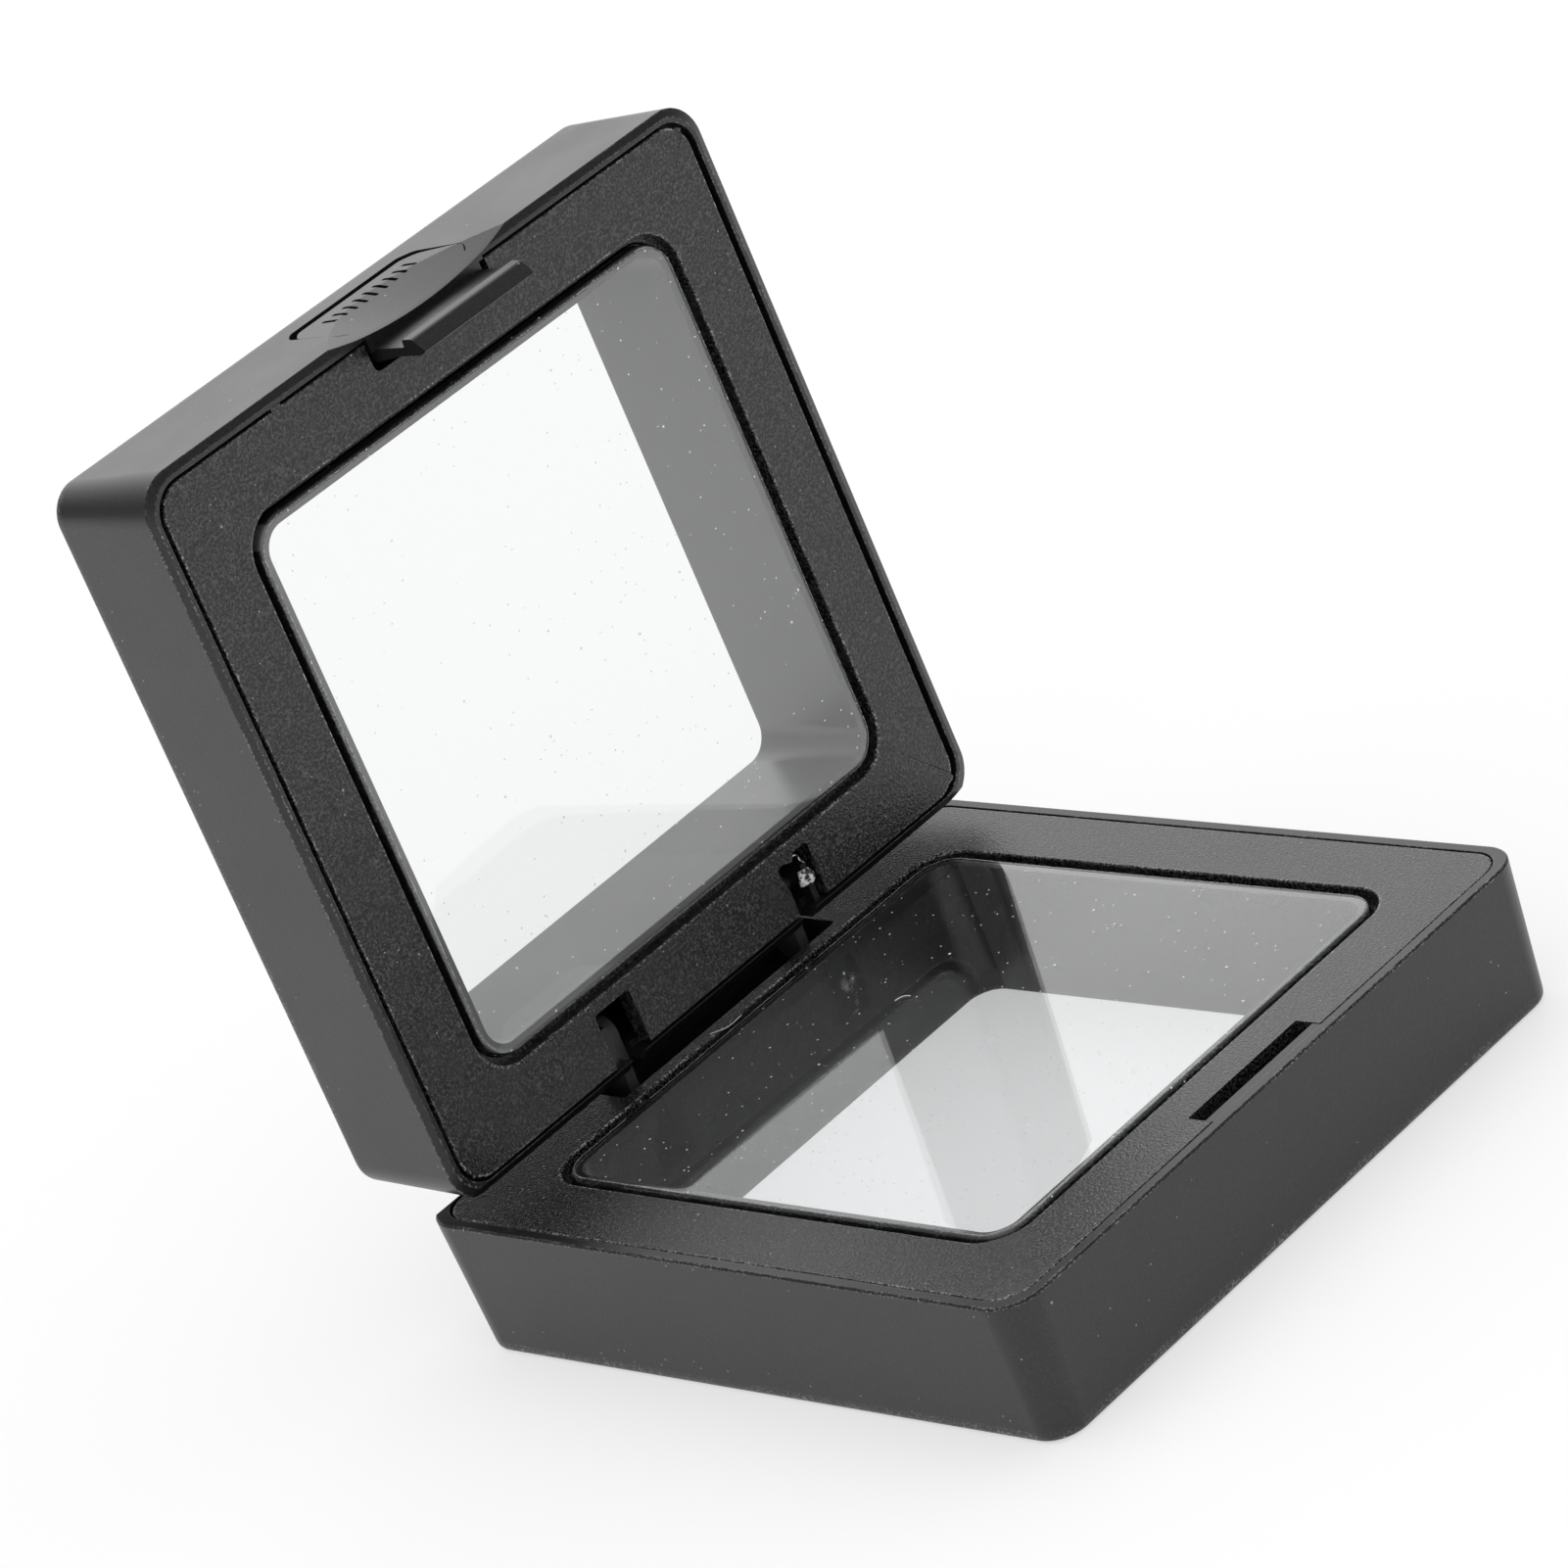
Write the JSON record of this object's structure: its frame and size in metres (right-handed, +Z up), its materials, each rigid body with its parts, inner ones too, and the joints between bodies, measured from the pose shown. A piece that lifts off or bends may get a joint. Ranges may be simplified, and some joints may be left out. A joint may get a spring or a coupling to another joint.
{
  "type": "floating display box",
  "caption": "Small square hinged display box, standing open: two deep black frames, each with a clear film across its window, rear hinge and front push latch.",
  "frame": {"origin": "middle of the open box's bounding box, on the surface that the base stands on", "axes": "+Z up from the surface, -Y towards the front edge with the latch, +X to the right, along the hinge"},
  "size_m": [0.05, 0.0574, 0.0608],
  "materials": {
    "shell_plastic": "satin black moulding with a fine grain",
    "plate_plastic": "fine spark-textured black moulding",
    "clear_film": "clear glossy stretched film",
    "pin_steel": "plain turned pin"
  },
  "bodies": {
    "base": {"base_shell": "shell_plastic", "base_inner_frame": "plate_plastic", "base_film": "clear_film", "hinge_arm_left": "shell_plastic", "hinge_pin_left": "pin_steel", "hinge_arm_right": "shell_plastic", "hinge_pin_right": "pin_steel"},
    "lid": {"lid_shell": "shell_plastic", "lid_inner_frame": "plate_plastic", "lid_film": "clear_film"},
    "latch": {"latch_tab": "shell_plastic"}
  },
  "joints": [
    {"name": "lid_hinge", "type": "hinge", "parent": "base", "child": "lid", "pos_m": [0, 0.01917, 0.01284], "axis": [-1, 0, 0], "range_deg": [-93.2, 0]},
    {"name": "latch_press", "type": "hinge", "parent": "lid", "child": "latch", "pos_m": [0, 0.02608, 0.05823], "axis": [1, 0, 0], "range_deg": [0, 3], "stiffness_Nm_per_rad": 0.3}
  ]
}
